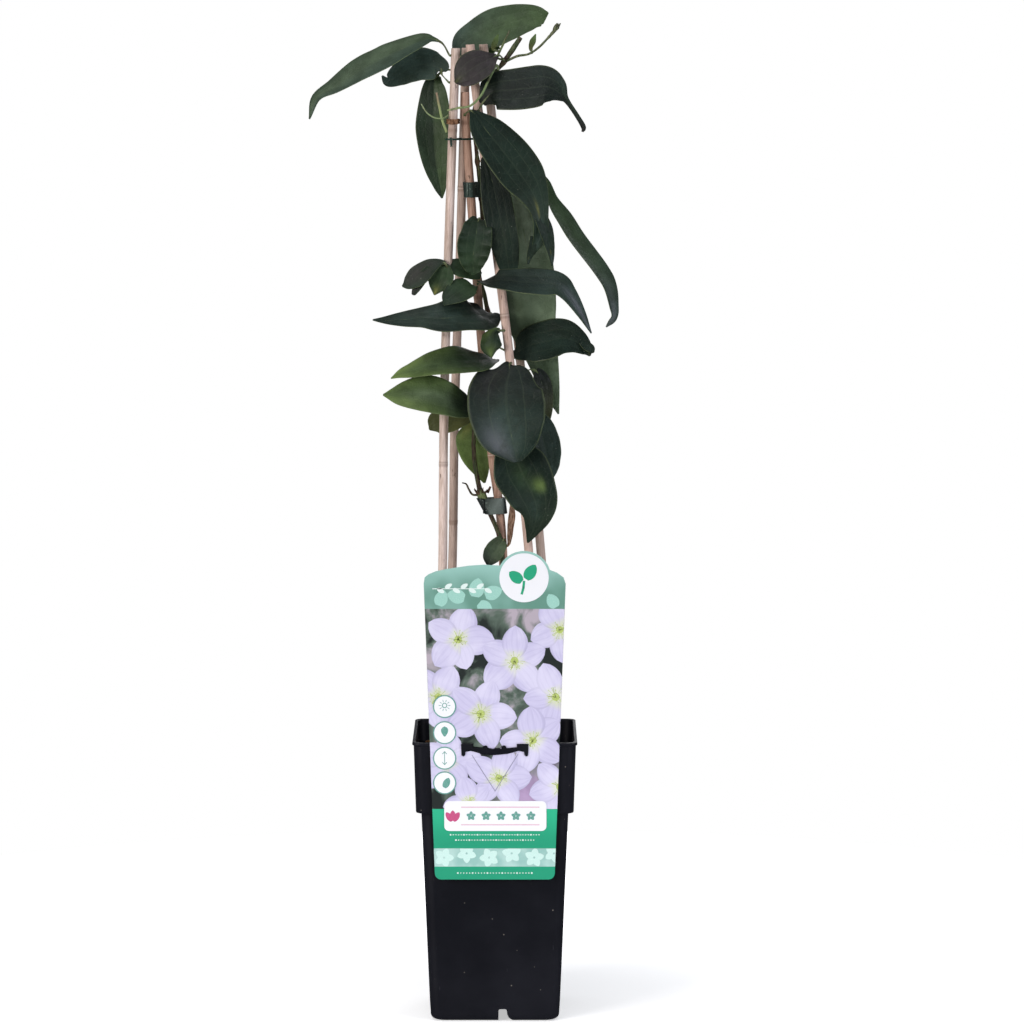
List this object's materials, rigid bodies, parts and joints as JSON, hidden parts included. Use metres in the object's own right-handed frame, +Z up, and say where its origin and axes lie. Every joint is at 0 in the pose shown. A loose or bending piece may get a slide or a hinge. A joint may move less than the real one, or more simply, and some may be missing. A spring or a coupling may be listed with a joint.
{
  "type": "potted climbing plant",
  "caption": "Evergreen clematis climbing tied bamboo canes, in a tall square black nursery pot with a hanging plant label.",
  "frame": {"origin": "centre of the pot's underside, on the floor", "axes": "+Z up along the pot's height, -Y towards the label's side, +X to the right as the label is read"},
  "size_m": [0.2195, 0.1187, 0.723],
  "materials": {
    "pot": "satin",
    "soil": "matte",
    "label": "satin",
    "cane": "satin",
    "cane_brown": "satin",
    "stem": "matte",
    "green_stem": "satin",
    "leaf": "satin",
    "tie": "satin",
    "dry": "matte"
  },
  "bodies": {
    "root": {"bract_left": "leaf", "bract_right": "leaf", "bud_stalk": "green_stem", "cane_back_left": "cane", "cane_back_right": "cane", "cane_centre": "cane_brown", "cane_front_left": "cane", "cane_front_right": "cane", "label": "label", "leaf_01": "leaf", "leaf_02": "leaf", "leaf_03": "leaf", "leaf_04": "leaf", "leaf_05": "leaf", "leaf_06": "leaf", "leaf_07": "leaf", "leaf_08": "leaf", "leaf_09": "leaf", "leaf_10": "leaf", "leaf_11": "leaf", "leaf_12": "leaf", "leaf_13": "leaf", "leaf_14": "leaf", "leaf_15": "leaf", "leaf_16": "leaf", "leaf_17": "leaf", "leaf_18": "leaf", "leaf_19": "leaf", "leaf_20": "leaf", "leaf_21": "leaf", "leaf_22": "leaf", "leaf_23": "leaf", "leaf_24": "leaf", "leaf_25": "leaf", "leaf_26": "leaf", "leaf_27": "leaf", "main_stem": "stem", "pot": "pot", "sheath_dry": "dry", "shoot_upright": "green_stem", "soil": "soil", "stub_left": "green_stem", "tendril_dried": "dry", "tendril_left": "green_stem", "tendril_right": "green_stem", "tie_band": "dry", "tie_lower": "tie", "tie_upper": "tie", "tie_wire": "tie", "vine_thin": "green_stem"}
  },
  "joints": []
}
